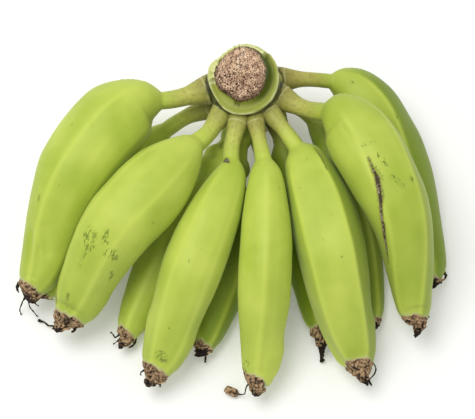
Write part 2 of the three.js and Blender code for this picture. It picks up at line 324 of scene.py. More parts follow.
def finger_radius(spec, t):
    """Radius of a finger at share t of its length: stem, shoulder, belly, blunt end."""
    widest = spec["girth"] / 2
    thinnest, shoulder, sprung = spec["stem"]
    flared = STEM_FLARE * thinnest
    if t < shoulder:
        return through([(0, flared), (0.5 * shoulder, thinnest), (shoulder, flared)], t)
    if t < spec["belly"]:
        way = (t - shoulder) / (spec["belly"] - shoulder)
        spring = sprung * (1 - near(way, SHOULDER_EASE))
        return widest - (widest - flared) * (1 - way) ** spec["full"][0] * (1 - spring)
    past = min((t - spec["belly"]) / (1 - spec["belly"]), 1)
    before_end, over = ROUND_OFF
    past_end = (t - 1) * spec["reach"] + before_end
    rounding = math.sqrt(1 - min(max(past_end / over, 0), 0.98) ** 2)
    fuller = 1 + spec["fuller"] * ease(*FULLER_OVER, t)
    return widest * (1 - (1 - END_SHARE) * past ** spec["full"][1]) * fuller * rounding


def from_ridge(spec, t, around):
    """Angle from the nearest of a finger's ridges, which twist a little round it."""
    turned = around - math.radians(spec["roll"] + spec["twist"] * (t - 0.5))
    half = math.pi / RIDGES
    return abs((turned + half) % (2 * half) - half)


def five_sided(spec, t, around):
    """A finger's outline against its mean circle, five flat sides that meet in rounded ridges."""
    half = math.pi / RIDGES
    off = from_ridge(spec, t, around)
    rounded = math.radians(mix(STEM_ROUNDED, spec["rounded"], ease(*ROUNDED_OVER, t)))
    eased = math.sqrt(off**2 + rounded**2 * (1 - (off / half) ** 2))
    flat = mix(STEM_FLAT, spec["flat"], ease(*FLAT_OVER, t))
    return (1 + flat * (math.cos(half) / math.cos(half - eased) - 1)) / (1 - FLAT_SHARE * flat)


def from_mark(mark, spec, t, around, radius):
    """Millimetres over the peel from a point to the line of a mark, and the mark's width there."""
    spot = Vector((t * spec["reach"], 0))
    nearest = (99.0, 1.0)
    places = []
    for share, degrees, width in mark:
        off = (around - math.radians(degrees) + math.pi) % (2 * math.pi) - math.pi
        places.append((Vector((share * spec["reach"], -off * radius)), width))
    for (start, start_width), (end, end_width) in zip(places, places[1:]):
        way = end - start
        share = min(max((spot - start).dot(way) / way.length_squared, 0), 1)
        width = mix(start_width, end_width, share)
        nearest = min(nearest, ((start + way * share - spot).length, width))
    return nearest


def skin_radius(key, spec, t, around, place, outward):
    """A finger's radius at share t and angle around, with its ridges, folds and small unevenness."""
    r = finger_radius(spec, max(t, 0)) * five_sided(spec, t, around)
    r += spec["flare"] * (1 - ease(*FLARE_OVER, t * spec["reach"]))
    spot = place + outward * r
    r += sum(height * waver(spot, 1 / length) for height, length in UNEVEN)
    for fold, depth in FOLDS.get(key, []):
        distance, width = from_mark(fold, spec, t, around, r)
        r -= depth * near(distance, width / 2)
    return r


def edge_distance(marks, spec, t, around, radius):
    """Millimetres to the nearest edge of these marks, negative inside one and never above 9."""
    distances = [from_mark(mark, spec, t, around, radius) for mark in marks]
    return min([9.0] + [distance - width / 2 for distance, width in distances])


def band_start(spec, around):
    """Mm past a finger's end where the band of its dry tip starts: it slants and is ragged."""
    angle, slant = spec["slant"]
    turn = Vector((math.sin(around), math.cos(around), spec["reach"]))
    ragged = sum(height * waver(turn, often) for height, often in BAND_WAVE)
    return BAND_ON - slant * math.cos(around - math.radians(angle)) + ragged


def rolled(bm, turns, rows):
    """A new grid to be rolled into a skin: each vertex, with its row and its angle round."""
    grid = bmesh.ops.create_grid(bm, x_segments=turns, y_segments=rows, size=0.5)
    for vert in grid["verts"]:
        yield vert, round((vert.co.y + 0.5) * rows), (vert.co.x + 0.5) * 2 * math.pi


def layers_on(bm, names):
    """A layer of numbers on a skin for each of these names, for its material to read."""
    return {name: bm.verts.layers.float.new(name) for name in names}


def piece_from(bm, name, material):
    """A finished piece: seams and poles closed, faces out, smooth, in metres and in its place."""
    bmesh.ops.remove_doubles(bm, verts=bm.verts, dist=0.001)
    bmesh.ops.recalc_face_normals(bm, faces=bm.faces)
    for face in bm.faces:
        face.smooth = True
    bmesh.ops.translate(bm, verts=bm.verts, vec=STALK_PLACE)
    bmesh.ops.scale(bm, verts=bm.verts, vec=(0.001, 0.001, 0.001))
    mesh = bpy.data.meshes.new(name)
    bm.to_mesh(mesh)
    bm.free()
    mesh.materials.append(material)
    piece = bpy.data.objects.new(name, mesh)
    bpy.context.scene.collection.objects.link(piece)
    return piece


def linear(hex_colour):
    """An sRGB hex colour as linear red, green, blue and alpha."""
    parts = [int(hex_colour[i : i + 2], 16) / 255 for i in (1, 3, 5)]
    return [p / 12.92 if p <= 0.04045 else ((p + 0.055) / 1.055) ** 2.4 for p in parts] + [1.0]


def add_node(tree, kind, inputs=(), **settings):
    """Adds a node; its inputs are values, or the sockets that they are linked from."""
    node = tree.nodes.new("ShaderNode" + kind)
    for key, value in settings.items():
        setattr(node, key, value)
    for socket, value in dict(inputs).items():
        if isinstance(value, bpy.types.NodeSocket):
            tree.links.new(value, node.inputs[socket])
        else:
            node.inputs[socket].default_value = value
    return node


def start_material(name, layers, roughness, specular):
    """A material, its tree, its shader's inputs, Object coordinates and what the layers hold."""
    material = bpy.data.materials.new(name)
    material.use_nodes = True
    tree = material.node_tree
    surface = tree.nodes["Principled BSDF"].inputs
    surface["Roughness"].default_value = roughness
    surface["Specular IOR Level"].default_value = specular
    place = add_node(tree, "TexCoord").outputs["Object"]
    held = {
        layer: add_node(tree, "Attribute", attribute_name=layer).outputs["Fac"] for layer in layers
    }
    return material, tree, surface, place, held


FACTOR, FIRST, SECOND, BLENDED = 0, 6, 7, 2  # a colour Mix node's sockets

# Unripe plantain peel: a thick, smooth green skin under a thin bloom of wax, which gives wide, soft
# highlights and pale edges. Its tone drifts in wide patches; the stem is tougher, olive and finely
# lined with brown; dark latex specks, scratched patches and healed cuts mark it.
PEEL_LIGHT = "#c8d65c"
PEEL_MID = "#acc043"
PEEL_DEEP = "#71890f"
STEM_GREEN = "#c4ce63"
STEM_OLIVE = "#afa854"
STEM_BROWN = "#7c7239"
JOINT_PALE = "#c9c88e"
TIP_PALE = "#b9bd84"
SPECK = "#4f5a17"
CUT_BROWN = "#463a28"
CUT_GREY = "#948a68"
CUT_EDGE = "#8c9434"
SCRATCH = "#6e8226"
SHADE_AND_MARK_DARK = "#3a3d14"
TONE_PATCH = 38  # mm across a patch of lighter or darker green
GRAIN = 2.2
PORE = 0.8  # drawn coarser than the real 0.2 mm, so that it shows
SPECK_SPACING = 9
STREAK = (9, 90)  # mm wide and long: a faint lengthwise band of the peel
LINE = (0.7, 13)  # a fine brown line on the stem
DASH = (1.1, 3.4)  # a scratch

# What the peel's material reads: how far along the finger a point is, how near a ridge, for its
# painted highlight, how far from a cut, from a scuff and from the dry tip's band, how much painted
# shade it has under the collar, and how deep its green is, partly with painted shade.
PEEL_LAYERS = ("along", "ridge", "cut", "scuff", "end", "under", "deep")


def peel_material(name, spec):
    """Green plantain peel, from the deep green of its fruit to the browner olive of its stem."""
    material, tree, surface, place, held = start_material(name, PEEL_LAYERS, 0.5, 0.3)
    surface["Sheen Weight"].default_value = 0.06
    straight = add_node(tree, "Attribute", attribute_name="straight").outputs["Vector"]
    length = add_node(tree, "SeparateXYZ", {"Vector": straight}).outputs["Z"]
    specks = add_node(tree, "TexVoronoi", {"Vector": place, "Scale": 1000 / SPECK_SPACING}).outputs
    pattern = {}
    for kind, size, detail in (("tone", TONE_PATCH, 3), ("grain", GRAIN, 4), ("pores", PORE, 2)):
        pattern[kind] = add_node(
            tree, "TexNoise", {"Vector": place, "Scale": 1000 / size, "Detail": detail}
        ).outputs["Fac"]
    for kind, (wide, long), detail, bend in (
        ("band", STREAK, 2, 0), ("line", LINE, 3, 0), ("dash", DASH, 2, 1.2)
    ):
        stretched = add_node(
            tree, "Mapping", {"Vector": straight, "Scale": (1 / wide, 1 / wide, 1 / long)}
        ).outputs["Vector"]
        pattern[kind] = add_node(
            tree, "TexNoise", {"Vector": stretched, "Scale": 1, "Detail": detail, "Distortion": bend}
        ).outputs["Fac"]
    tone = add_node(
        tree, "MapRange", {"Value": pattern["tone"], "From Min": 0.32, "From Max": 0.68}
    ).outputs["Result"]

    # Edges that waver: by what, how much, and from what line.
    wavy = {}
    for kind, by, much, line in (
        ("olive", tone, 0.35, spec["olive"] - 0.15),
        ("stain", tone, -9, length),
        ("joint", pattern["grain"], 2.4, length),
        ("body", tone, 0.05, held["along"]),
        ("end", pattern["grain"], 5, held["end"]),
        ("cut", pattern["grain"], -2, held["cut"]),
    ):
        wavy[kind] = add_node(
            tree, "Math", {0: by, 1: much, 2: line}, operation="MULTIPLY_ADD"
        ).outputs[0]

    # How much of each thing shows: what it follows, where there is none, where all, and the most.
    share = {}
    for kind, value, none, full, most in (
        ("band", pattern["band"], 0.45, 0.75, 0.14),
        ("tip", held["along"], 0.55, 0.95, 0.2),
        ("line", pattern["line"], 0.54, 0.68, 0.6),
        ("stain", wavy["stain"], 6, -12, 0.6),
        ("stipple", pattern["grain"], 0.5, 0.64, 0.32),
        ("end", wavy["end"], 0.8, 2.2, 0.7),
        ("dot", specks["Distance"], 0.1, 0.04, 1),
        ("chosen", specks["Color"], 0.62, 0.8, 0.55),
        ("dash", pattern["dash"], 0.49, 0.6, 1),
        ("scuffed", held["scuff"], 0.4, -0.8, 1),
        ("cut edge", wavy["cut"], 0.1, -0.7, 0.8),
        ("cut", wavy["cut"], -0.9, -1.3, 1),
        ("grey", pattern["grain"], 0.5, 0.62, 1),
    ):
        share[kind] = add_node(
            tree, "MapRange", {"Value": value, "From Min": none, "From Max": full, "To Max": most}
        ).outputs["Result"]
    share["body"] = add_node(
        tree,
        "MapRange",
        {"Value": wavy["body"], "From Min": spec["green_at"], "From Max": spec["green_at"] + 0.15},
        interpolation_type="SMOOTHSTEP",
    ).outputs["Result"]
    at_joint = add_node(
        tree, "Math", {0: wavy["joint"], 1: 1.2 - spec["joint"], 2: 0.5}, operation="COMPARE"
    ).outputs[0]
    for kind, one, other in (
        # half the painted highlight along the ridges
        ("ridge", held["ridge"], 0.5),
        ("joint", at_joint, 0.5),
        ("speck", share["dot"], share["chosen"]),
        ("scratch", share["dash"], share["scuffed"]),
    ):
        share[kind] = add_node(tree, "Math", {0: one, 1: other}, operation="MULTIPLY").outputs[0]

    # The colours of fruit, stem and healed cut, each with others over it; then these over each other.
    paint = {}
    for kind, ground, coats in (
        ("fruit", PEEL_MID, (
            # among these, painted shade with some of the fruit's own deeper green, and a painted
            # highlight on the ridges
            (tone, PEEL_LIGHT), (held["deep"], PEEL_DEEP), (share["band"], PEEL_DEEP),
            (share["tip"], PEEL_DEEP), (share["ridge"], PEEL_LIGHT),
        )),
        ("stem", STEM_GREEN, (
            (wavy["olive"], STEM_OLIVE), (share["line"], STEM_BROWN), (share["stain"], STEM_BROWN),
            (share["stipple"], STEM_BROWN), (share["joint"], JOINT_PALE),
        )),
        ("healed", CUT_BROWN, ((share["grey"], CUT_GREY),)),
    ):
        paint[kind] = linear(ground)
        for much, coat in coats:
            paint[kind] = add_node(
                tree, "Mix", {FACTOR: much, FIRST: paint[kind], SECOND: linear(coat)}, data_type="RGBA"
            ).outputs[BLENDED]
    colour = paint["stem"]
    for much, coat in (
        (share["body"], paint["fruit"]), (share["end"], linear(TIP_PALE)),
        # painted shade under the collar
        (held["under"], linear(SHADE_AND_MARK_DARK)), (share["speck"], linear(SPECK)),
        (share["scratch"], linear(SCRATCH)), (share["cut edge"], linear(CUT_EDGE)),
        (share["cut"], paint["healed"]),
    ):
        colour = add_node(
            tree, "Mix", {FACTOR: much, FIRST: colour, SECOND: coat}, data_type="RGBA"
        ).outputs[BLENDED]
    tree.links.new(colour, surface["Base Color"])

    waxy = add_node(
        tree, "MapRange", {"Value": pattern["grain"], "To Min": 0.46, "To Max": 0.6}
    ).outputs["Result"]
    rougher = add_node(
        tree, "Math", {0: share["cut"], 1: 0.3, 2: waxy}, operation="MULTIPLY_ADD"
    ).outputs[0]
    tree.links.new(rougher, surface["Roughness"])
    relief = add_node(
        tree, "Math", {0: share["cut"], 1: -1.5, 2: pattern["pores"]}, operation="MULTIPLY_ADD"
    ).outputs[0]
    bump = add_node(tree, "Bump", {"Height": relief, "Strength": 0.3, "Distance": 0.0001})
    tree.links.new(bump.outputs["Normal"], surface["Normal"])
    return material


UPPER_MESH = (152, 200)  # faces round and along a finger that shows all its length
LOWER_MESH = (96, 130)
CROWDING = 0.94  # below 1, the rows crowd a little towards the tip
CUT_DEPTH = 0.5
CUT_OVER = (-0.6, 0.4)  # mm from a cut's edge over which it gets that deep
CUT_LIP = 0.25  # mm that its healed edge stands up
LIP_OVER = (0, 1.5)
RIDGE_HIGHLIGHT_WIDE = 1.8  # mm to each side of a ridge that has a painted highlight
RIDGE_HIGHLIGHT_FROM = (0.2, 0.3)  # shares of the length over which that painted highlight comes in
SHADED_FROM = (0.15, 0.3)  # and over which painted shade comes onto the right side
SHADED_IN, SHADED_OUT = (1, -4), (-150, -110)  # degrees past its ridge where it starts and ends
WRAP_R = 15  # radius of the straight finger on which the lengthwise patterns lie

for key, spec in FINGERS.items():
    turns, lengths = UPPER_MESH if key.startswith("upper") or key == "lower_6" else LOWER_MESH
    points = centreline(spec)
    root_t = -ROOT_SUNK / spec["reach"]
    end_t = 1 + PEEL_ON / spec["reach"]
    rows = []
    for row in range(lengths + 1):
        t = mix(root_t, end_t, min(max((row - 1) / (lengths - 2), 0), 1) ** CROWDING)
        place, way, side, up = frame_at(points, t)
        place = place + side * spec["drift"] * ease(*DRIFT_OVER, t)
        rows.append((t, place, side, up, row in (0, lengths)))
    bm = bmesh.new()
    layer = layers_on(bm, PEEL_LAYERS)
    straight = bm.verts.layers.float_vector.new("straight")
    for vert, row, around in rolled(bm, turns, lengths):
        t, place, side, up, is_pole = rows[row]
        outward = side * math.sin(around) + up * math.cos(around)
        r = skin_radius(key, spec, t, around, place, outward)
        cut = edge_distance(CUTS.get(key, []), spec, t, around, r)
        r -= CUT_DEPTH * (1 - ease(*CUT_OVER, cut))
        r += CUT_LIP * (1 - abs(2 * ease(*LIP_OVER, cut) - 1))
        r = 0 if is_pole else r
        spot = place + outward * r
        spot.z = max(spot.z, 0)
        vert.co = spot
        off_ridge = from_ridge(spec, t, around) * r
        right_ridge = spec["roll"] + spec["twist"] * (t - 0.5) - 360 / RIDGES
        past_ridge = (math.degrees(around) - right_ridge + 180) % 360 - 180
        shaded = ease(*SHADED_IN, past_ridge) * ease(*SHADED_OUT, past_ridge)
        vert[layer["along"]] = t
        # A painted highlight along the ridges.
        vert[layer["ridge"]] = near(off_ridge, RIDGE_HIGHLIGHT_WIDE) * ease(*RIDGE_HIGHLIGHT_FROM, t)
        vert[layer["cut"]] = cut
        vert[layer["scuff"]] = edge_distance(SCUFFS.get(key, []), spec, t, around, r)
        vert[layer["end"]] = (t - 1) * spec["reach"] - band_start(spec, around)
        # Painted shade where the stem goes in under the collar's rim.
        vert[layer["under"]] = ease(COLLAR_EDGE + 0.9, COLLAR_EDGE, (upright @ spot).xy.length)
        # Painted shade, deeper on fingers that lie in others' shade and on the side away from the lamp.
        vert[layer["deep"]] = spec["deep"] + spec["deeper"] * shaded * ease(*SHADED_FROM, t)
        vert[straight] = (WRAP_R * math.sin(around), WRAP_R * math.cos(around), t * spec["reach"])
    finger = piece_from(bm, f"plantain_{key}", peel_material(f"waxy green peel, {key}", spec))
    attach(finger, "root")
    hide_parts(f"finger_{key}")


# ---- The stalk -----------------------------------------------------------------------------------
# A length of the bunch's stalk, cut across above and below the hand: juicy, fibrous tissue under a
# tough green skin. Its side swells into a cushion round the root of each stem. Above them is the
# scar ring that a bract left, and inside it the rind that tore up round the cut.

FACE_R = 16
CROWN_TOP = 83
CUSHION = 7.5  # how far a stem's cushion stands out, mm
CUSHION_R = 8
CUSHION_OVER = (70, 65)  # heights over which the cushions grow, downwards from the collar
CUSHION_AT = 6  # mm inside a finger's root, where the middle of its cushion is
ROOTS_R = 24  # the radius at which distances round the stalk are taken
RIND_FROM, RIND_TO = -82, -230  # bearings between which the rind still stands, by the back
FLAP_TO = -120  # and where the part of it that has folded outwards ends

# The stalk's side, as (height, radius), up to the crevice under the collar.
SIDE = [(-8, 16), (6, 17), (24, 19), (36, 20.6), (60, 20.8), (66, 20.4), (69.4, 19.4)]
# Above that, as (radius, height below the cut): the collar's rim and the dish inside it; in its place
# where the rind still stands, the outside of the rind, its torn edge and the groove behind it; and
# the part of the rind that has folded outwards.
DISHED = [
    (21.4, 12.8), (22.3, 11.8), (22.7, 10.4), (22.4, 9.2), (21.7, 8.7), (20.8, 8.9),
    (19.4, 9.6), (17.8, 9.2), (17.0, 6.0), (16.4, 2.5), (15.9, 0.9), (0, 1.2),
]
RINDED = [
    (21.4, 12.8), (22.0, 11.6), (21.9, 10.0), (21.2, 8.2), (20.5, 6.2), (19.9, 4.4),
    (19.2, 3.0), (18.5, 2.3), (17.9, 2.2), (17.4, 2.6), (17.0, 4.4), (0, 4.4),
]
FOLDED = [
    (21.4, 12.8), (22.4, 11.4), (22.9, 9.6), (22.8, 8.0), (22.3, 6.6), (21.5, 5.6),
    (20.4, 4.8), (19.3, 4.2), (18.4, 3.9), (17.7, 4.0), (17.1, 5.6), (0, 5.6),
]
RIM_FORWARD = 2.6  # mm that the collar reaches further out at the front
NECK_FORWARD = 0.8  # share of it by which the skin below follows, over these heights
NECK_OVER = (40, 66)
UNDER_RIM_SHADE_OVER = (64.8, 67.2)  # heights over which painted shade under the collar starts
# How dark that painted shade is.
UNDER_COLLAR_SHADE_DARK = 0.85
# How the top falls short of its circle: bearing, how many degrees to each side, and mm.
RIM_SHORT = (-58, 26, 1.8)
RIND_SHORT = (-140, 30, 1.8)
EDGE_WAVE = 5  # degrees by which the torn rind's ends wander
RAGGED_UP, RAGGED_OUT = 1.1, 0.7  # mm by which its torn edge is uneven
FACE_FLAT, FLAT_R = -38, 15.5  # bearing and radius of the side where the cut face is straight
DIPS = [(131, 3.5), (-120, 3)]  # notches in the rim: bearing and how many degrees to each side
DIP_DEPTH = 2.2
# Brown scars where the bract's edge tore off, as the bearings between which each runs and its height.
SCARS = [(-72, -20, 67.3), (-64, -30, 65.4)]
# Small knocks in the dish: bearing, radius and width.
KNOCKS = [(-15, 18.3, 1.0), (-9, 18.9, 0.9)]

roots = []
for spec in FINGERS.values():
    place, way = frame_at(centreline(spec), 0)[:2]
    inside = upright @ (place - way * CUSHION_AT)
    roots.append((math.degrees(math.atan2(inside.x, -inside.y)), inside.z))


def cushion(bearing, height):
    """How far the stalk's skin swells at a bearing and height, towards the nearest stem's root."""
    most = 0
    for root_bearing, root_height in roots:
        off = (bearing - root_bearing + 180) % 360 - 180
        across = math.radians(off) * ROOTS_R
        distance = math.hypot(across, (height - root_height) * 0.9)
        most = max(most, CUSHION * near(distance, CUSHION_R))
    return most


def forward(bearing):
    """How far the collar reaches out at a bearing, most at the front."""
    return RIM_FORWARD * max(math.cos(math.radians(bearing)), 0) ** 1.5


def fall_short(bearing, short):
    middle, spread, depth = short
    return depth * near(bearing - middle, spread)


def face_edge(bearing):
    """Radius of the cut face's edge at a bearing."""
    off = math.cos(math.radians(bearing - FACE_FLAT))
    return min(FACE_R + 0.6, FLAT_R / max(off, 0.1))


def between(start, end, soft, bearing):
    """1 at bearings from start down to end, and 0 elsewhere, each end eased over soft degrees."""
    turned = bearing if bearing < 20 else bearing - 360
    begun = ease(start + soft / 2, start - soft / 2, turned)
    return begun * ease(end - soft / 2, end + soft / 2, turned)


TURN = 288
SIDE_ROWS = 120
TOP_ROWS = 84
# What its skin's material reads: how far a point is torn rind, the dish, the shaded part of the
# dish (painted shadow), painted shade in a crevice with the dark scars and knocks, and a painted
# highlight on the collar's crest with the rind's pale torn edges.
STALK_LAYERS = ("rind", "dish", "shade", "shade_and_marks", "highlight_and_pale_edge")

# Radius and height below the cut for each row of the top, bare, with rind and with folded rind.
shares = [k / (len(DISHED) - 1) for k in range(len(DISHED))]
curves = [
    [list(zip(shares, values)) for values in zip(*profile)] for profile in (DISHED, RINDED, FOLDED)
]
top_rows = []
for row in range(TOP_ROWS + 1):
    position = (row / TOP_ROWS) ** 1.15
    top_rows.append([[through(curve, position) for curve in pair] for pair in curves])


def side_skin(bearing, turn, share):
    """Radius, height and layers of the stalk's skin, from its foot at share 0 to the collar."""
    height = mix(SIDE[0][0], SIDE[-1][0], share**0.6)
    r = through(SIDE, height) + cushion(bearing, height) * ease(*CUSHION_OVER, height)
    r += NECK_FORWARD * forward(bearing) * ease(*NECK_OVER, height)
    r += 0.5 * waver(turn, 3, height / 40) + 0.3 * waver(turn, 9, height / 12)
    # Painted shade in the crevice under the collar, over the skin and its cushions, and the dark scars.
    under = ease(COLLAR_EDGE + 1, COLLAR_EDGE, r) * ease(62, 65, height)
    shade_and_marks = UNDER_COLLAR_SHADE_DARK * max(ease(*UNDER_RIM_SHADE_OVER, height), under)
    for start, end, level in SCARS:
        level += 1.2 * waver(turn, 6, level)
        if start < bearing < end:
            shade_and_marks = max(shade_and_marks, 0.9 * near(height - level, 0.4))
    return r, height, {"shade_and_marks": shade_and_marks}


def top_skin(bearing, turn, step):
    """The same over the top, from the collar's edge in to the middle, under the cut.

    At share 0.2 to 0.4 is the collar's rim, and at 0.5 to 0.6 the dish; where the rind stands, its
    torn edge is at 0.5 to 0.8 and the groove behind it at 0.9.
    """
    share = step / TOP_ROWS
    wavy = bearing + EDGE_WAVE * waver(turn, 8, share * 2)
    standing = between(RIND_FROM, RIND_TO, 5, wavy)
    folded = between(RIND_FROM, FLAP_TO, 4, wavy)
    (bare_r, bare_drop), (rind_r, rind_drop), (flap_r, flap_drop) = top_rows[step]
    r = mix(bare_r, mix(rind_r, flap_r, folded), standing)
    height = CROWN_TOP - mix(bare_drop, mix(rind_drop, flap_drop, folded), standing)
    torn = standing * ease(0.3, 0.5, share) * ease(0.95, 0.8, share)
    ragged = torn * (waver(turn, 7, 3) + 0.6 * waver(turn, 17))
    height += RAGGED_UP * ragged
    short = FACE_R + 0.6 - face_edge(bearing)
    r -= short * ease(20.5, 17, r) * min(r / 16, 1)
    height += 0.9 * short * ease(21, 17.5, r) * ease(3, 7, CROWN_TOP - height)
    r += 0.4 * waver(turn, 5, share * 3) * (1 - share) + RAGGED_OUT * ragged
    r += forward(bearing) * ease(15.5, 21, r)
    r -= fall_short(bearing, RIM_SHORT) * ease(17, 21, r)
    r -= fall_short(bearing, RIND_SHORT) * ease(14, 17, r)
    dip = sum(near(bearing - middle, spread) for middle, spread in DIPS)
    height -= DIP_DEPTH * dip * ease(0.5, 0.2, share) * ease(0, 0.1, share)
    dish = (1 - standing) * ease(0.33, 0.45, share)
    # Painted shade under the collar's rim, under and behind the standing rind, in the rim's notches and
    # round the cut face, and dark knocks in the dish.
    shades_and_knocks = [
        ease(0.09, 0.02, share),
        0.85 * ease(0.28, 0.16, share) * standing,
        0.8 * ease(0.84, 0.9, share) * standing,
        0.9 * dip * ease(0.45, 0.2, share),
        0.7 * (1 - standing) * ease(face_edge(bearing) + 0.7, face_edge(bearing) + 0.2, r),
    ]
    for knock_bearing, knock_r, width in KNOCKS:
        off = math.hypot(math.radians(bearing - knock_bearing) * r, (r - knock_r) * 0.7)
        shades_and_knocks.append(0.8 * near(off, width) * dish)
    # A painted highlight along the collar's crest; the torn rind's edges are pale.
    crest_highlight = (1 - standing) * ease(0.2, 0.3, share) * ease(0.42, 0.34, share)
    highlight_and_pale_edge = (
        0.75 * crest_highlight * ease(-0.5, 0.4, waver(turn, 4) + 0.2),
        near(bearing - RIND_FROM - 1, 2.5) * ease(0.2, 0.3, share),
        0.6 * standing * near(r - 18, 0.6) * ease(0.4, 0.5, share),
    )
    return r, height, {
        "rind": standing * ease(0.12, 0.3, share),
        "dish": dish,
        "shade": dish * ease(21.6, 18, r) * ease(0, 45, bearing) * ease(160, 125, bearing),
        "shade_and_marks": max(shades_and_knocks),
        "highlight_and_pale_edge": min(max(highlight_and_pale_edge), 1),
    }


bm = bmesh.new()
layer = layers_on(bm, STALK_LAYERS)
for vert, row, around in rolled(bm, TURN, SIDE_ROWS + TOP_ROWS):
    bearing = math.degrees(around) - 180
    turn = Vector((math.sin(around), math.cos(around), 0))
    if row <= SIDE_ROWS:
        r, height, shown = side_skin(bearing, turn, row / SIDE_ROWS)
    else:
        r, height, shown = top_skin(bearing, turn, row - SIDE_ROWS)
    vert.co = lean @ Vector((-r * turn.x, r * turn.y, height))
    for name, value in shown.items():
        vert[layer[name]] = value
bmesh.ops.remove_doubles(bm, verts=bm.verts, dist=0.001)
everything = bm.verts[:] + bm.edges[:] + bm.faces[:]
bmesh.ops.bisect_plane(
    bm, geom=everything, plane_co=(0, 0, 0), plane_no=(0, 0, -1), clear_outer=True
)
bmesh.ops.holes_fill(bm, edges=[e for e in bm.edges if e.is_boundary], sides=0)

# Fresh banana stalk: a tough, matte olive skin, finely grained with brown, that goes to a smoother,
# brighter green in the dish of the collar and to pale, wet-looking cream where it is torn. Painted
# shade darkens its crevices, painted shadow one side of the dish, and a painted highlight runs along
# the collar's crest; its scars and knocks are dark.
SKIN_OLIVE = "#a8ab58"
SKIN_BROWN = "#8a7f46"
DISH_GREEN = "#9da447"
DISH_DARK = "#586614"
RIND_CREAM = "#d6d88e"
RIND_GREEN = "#a0a84e"
# Cream for the torn rind's pale edges and the painted highlight on the collar's crest.
CREAM_FOR_HIGHLIGHT_AND_EDGE = "#e6e8b4"
SKIN_GRAIN = 2

stalk_skin, tree, surface, place, held = start_material(
    "matte olive stalk skin", STALK_LAYERS, 0.55, 0.3
)
grain = add_node(
    tree, "TexNoise", {"Vector": place, "Scale": 1000 / SKIN_GRAIN, "Detail": 5}
).outputs["Fac"]
grained = add_node(
    tree, "MapRange", {"Value": grain, "From Min": 0.44, "From Max": 0.74}
).outputs["Result"]
torn = add_node(
    tree,
    "Mix",
    {FACTOR: grained, FIRST: linear(RIND_CREAM), SECOND: linear(RIND_GREEN)},
    data_type="RGBA",
).outputs[BLENDED]
colour = linear(SKIN_OLIVE)
for much, coat in (
    (grained, linear(SKIN_BROWN)), (held["dish"], linear(DISH_GREEN)),
    # painted shadow on one side of the dish; a painted highlight on the collar's crest
    (held["shade"], linear(DISH_DARK)), (held["rind"], torn), (held["highlight_and_pale_edge"], linear(CREAM_FOR_HIGHLIGHT_AND_EDGE)),
    # painted shade in crevices, and dark scars and knocks
    (held["shade_and_marks"], linear(SHADE_AND_MARK_DARK)),
):
    colour = add_node(
        tree, "Mix", {FACTOR: much, FIRST: colour, SECOND: coat}, data_type="RGBA"
    ).outputs[BLENDED]
tree.links.new(colour, surface["Base Color"])
bump = add_node(tree, "Bump", {"Height": grain, "Strength": 0.5, "Distance": 0.0003})
tree.links.new(bump.outputs["Normal"], surface["Normal"])

stalk = piece_from(bm, "stalk", stalk_skin)
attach(stalk, "root")
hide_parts("crown")


# ---- The cut across the stalk ---------------------------------------------------------------------
# Dried pith: the water-filled tissue has shrunk back round thousands of upright fibres, so the cut
# is a rough, light brown brush of short worms and dark pits, with a browner, smoother edge. It is
# the top of the stalk itself, and starts inside the groove that the rind left.

FACE_TURN = 240
FACE_ROWS = 90
FACE_LONG = 17.6  # its radius from front to back; across it is FACE_R
FACE_EDGE = 0.93  # share of the rows that is the face; the rest is its rolled edge
EDGE_DROP = 3.5  # how far that edge goes down into the stalk
WORM = (1.1, 0.6)  # mm across the larger and the smaller worms
PIT_FROM = 0.36
PIT_DEEP = 2.6
# A raised rib of tougher fibres, from near the back of the face, and its branch: x, y in mm.
RIB = [(1.2, 16.5), (1.9, 12.3), (-1.9, 8.2), (-1.9, 1.7)]
SIDE_RIB = [(1.9, 12.3), (2.9, 8.9)]
RIB_WIDE = 0.7
FACE_LAYERS = ("pit", "edge", "rib")  # how far a point is in a pit, at the edge and on the rib


def from_rib(spot):
    """Mm from a spot of the face to the line of its rib."""
    nearest = 99.0
    for line in (RIB, SIDE_RIB):
        for start, end in zip(line, line[1:]):
            start, end = Vector((*start, 0)), Vector((*end, 0))
            way = end - start
            share = min(max((spot - start).dot(way) / way.length_squared, 0), 1)
            nearest = min(nearest, (start + way * share - spot).length)
    return nearest


bm = bmesh.new()
layer = layers_on(bm, FACE_LAYERS)
for vert, row, around in rolled(bm, FACE_TURN, FACE_ROWS):
    share = row / FACE_ROWS
    bearing = math.degrees(around) - 180
    turn = Vector((-math.sin(around), -math.cos(around), 0))
    out = 1 / math.hypot(turn.x / (FACE_R + 0.4), turn.y / FACE_LONG)
    out += 0.5 * waver(turn, 2, 1) + 0.25 * waver(turn, 9, 1)
    out = min(out, FLAT_R / max(math.cos(math.radians(bearing - FACE_FLAT)), 0.1))
    out -= fall_short(bearing, RIND_SHORT)
    across = min(share / FACE_EDGE, 1)
    spot = Vector((out * across * turn.x - 0.6, -out * across * turn.y - 0.8, 0))
    worms = abs(waver(spot, 1 / WORM[0])) + 0.6 * abs(waver(spot, 1 / WORM[1], 9))
    coarse = waver(spot, 1 / 5, 4)
    depth = max(PIT_FROM - worms, 0) * PIT_DEEP * mix(0.85, 1.35, ease(7, -12, spot.y))
    rib = near(from_rib(spot), RIB_WIDE)
    height = 0.5 + 0.5 * coarse + 0.6 * rib - depth * (1 - 0.8 * rib)
    height -= 1.6 * ease(0.88, 1.0, across)
    height -= EDGE_DROP * max(share - FACE_EDGE, 0) / (1 - FACE_EDGE)
    vert.co = lean @ (spot + Vector((0, 0, CROWN_TOP + height)))
    vert[layer["pit"]] = min(depth / 0.75, 1)
    vert[layer["edge"]] = ease(0.84, 1.0, across) * mix(0.5, 1, ease(12, -12, spot.y))
    vert[layer["rib"]] = rib
bmesh.ops.remove_doubles(bm, verts=bm.verts, dist=0.001)
bmesh.ops.holes_fill(bm, edges=[e for e in bm.edges if e.is_boundary], sides=0)

